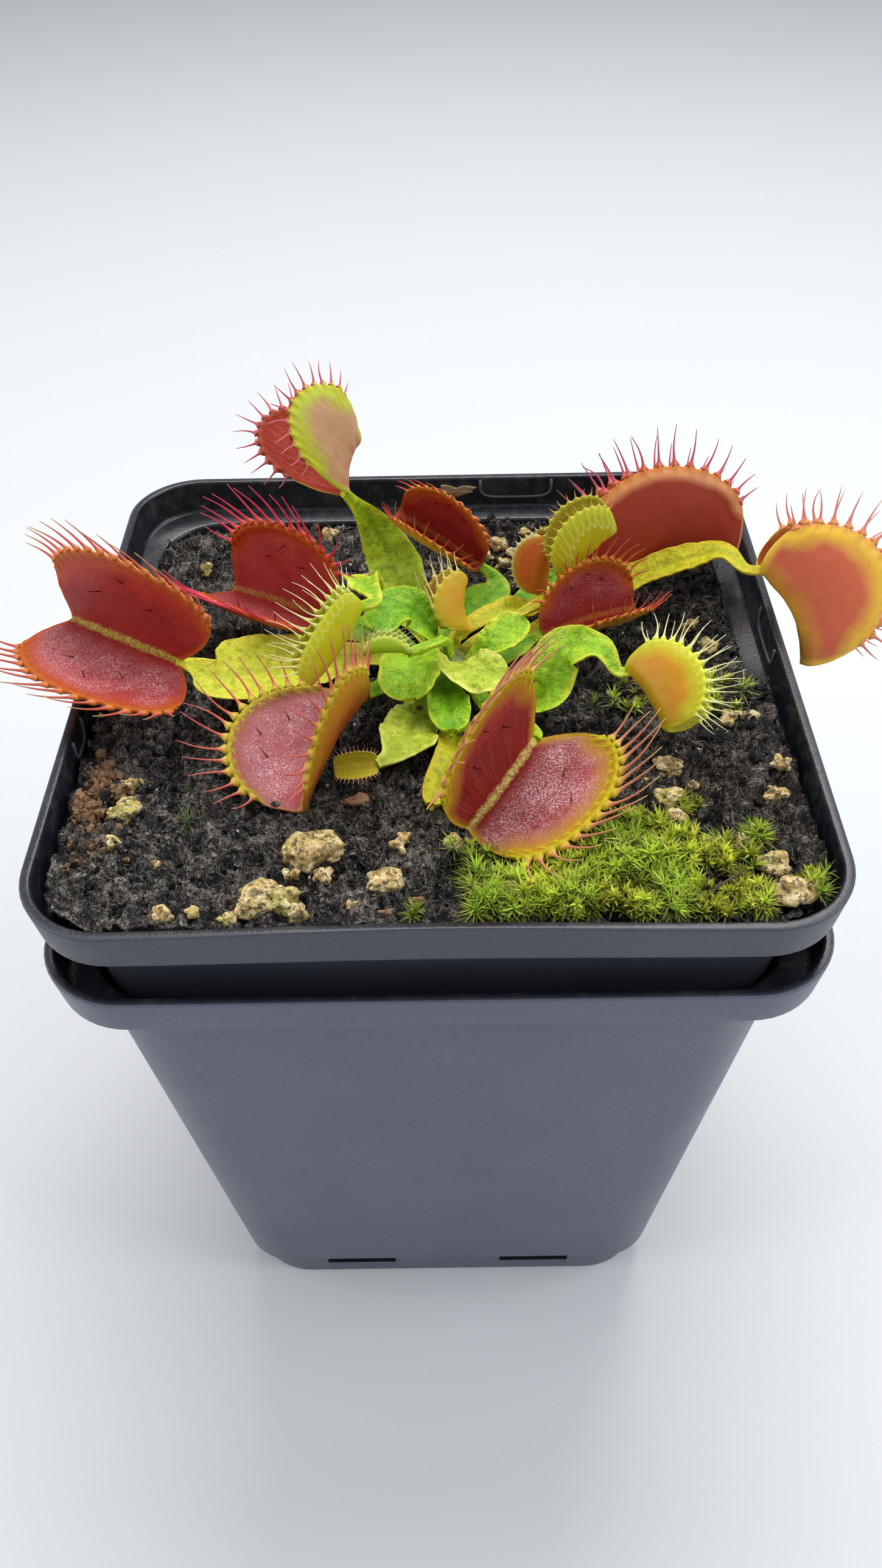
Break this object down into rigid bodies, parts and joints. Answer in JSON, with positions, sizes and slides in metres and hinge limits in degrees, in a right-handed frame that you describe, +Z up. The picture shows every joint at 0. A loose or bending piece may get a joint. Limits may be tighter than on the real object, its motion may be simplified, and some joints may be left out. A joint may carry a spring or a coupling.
{
  "type": "potted venus flytrap",
  "caption": "Carnivorous rosette plant with toothed red and yellow-green hinged traps on flat green petioles, in peat in a square nursery pot nested in a matching pot.",
  "frame": {"origin": "on the underside of the outer pot's floor, below the middle of the pots", "axes": "+Z up; +Y towards the back of the rosette, away from the side it was pictured from; +X to the viewer's right"},
  "size_m": [0.1218, 0.09, 0.1322],
  "materials": {
    "pot_plastic": "fine-grained matte charcoal",
    "peat": "damp crumbly peat",
    "pumice": "porous stone grains",
    "crown": "pale green rhizome",
    "leaf_lime": "satin leaf blade",
    "leaf_green": "satin leaf blade",
    "leaf_olive": "satin leaf blade",
    "trap_orange": "satin trap lobes",
    "trap_red": "satin trap lobes",
    "trap_olive": "satin trap lobes",
    "trap_yellow_green": "satin trap lobes",
    "trap_mauve": "satin trap lobes",
    "trap_lime": "satin trap lobes"
  },
  "bodies": {
    "root": {"outer_pot": "pot_plastic", "inner_pot": "pot_plastic", "soil": "peat", "crown": "crown", "petiole_left": "leaf_lime", "petiole_back_left": "leaf_green", "petiole_raised": "leaf_green", "petiole_back_small": "leaf_lime", "petiole_back_right": "leaf_green", "petiole_right": "leaf_lime", "petiole_mid_right": "leaf_green", "petiole_low_right": "leaf_lime", "petiole_front": "leaf_green", "petiole_front_left": "leaf_green", "petiole_mid_left": "leaf_lime", "petiole_centre": "leaf_olive", "petiole_right_orange": "leaf_olive", "petiole_right_yellow": "leaf_olive", "petiole_young_left": "leaf_green", "petiole_young_front": "leaf_lime", "leaf_low_front": "leaf_green", "leaf_round_front": "leaf_green", "leaf_upright_left": "leaf_green", "leaf_broad_left": "leaf_green", "leaf_waved_front": "leaf_lime", "leaf_oval_right": "leaf_green", "trap_left": "trap_orange", "trap_back_left": "trap_red", "trap_raised": "trap_olive", "trap_back_small": "trap_orange", "trap_back_right": "trap_red", "trap_right": "trap_orange", "trap_mid_right": "trap_red", "trap_low_right": "trap_yellow_green", "trap_front": "trap_red", "trap_front_left": "trap_mauve", "trap_mid_left": "trap_yellow_green", "trap_centre": "trap_orange", "trap_right_yellow": "trap_yellow_green", "trap_right_orange": "trap_orange", "trap_young_left": "trap_lime", "trap_young_front": "trap_lime", "grain_front_left": "pumice", "grain_front_cluster": "pumice", "grain_left": "pumice", "grain_front_mid": "pumice", "grain_right_back": "pumice", "grain_right_mid": "pumice", "grain_right_front": "pumice", "grain_far_right": "pumice"}
  },
  "joints": []
}
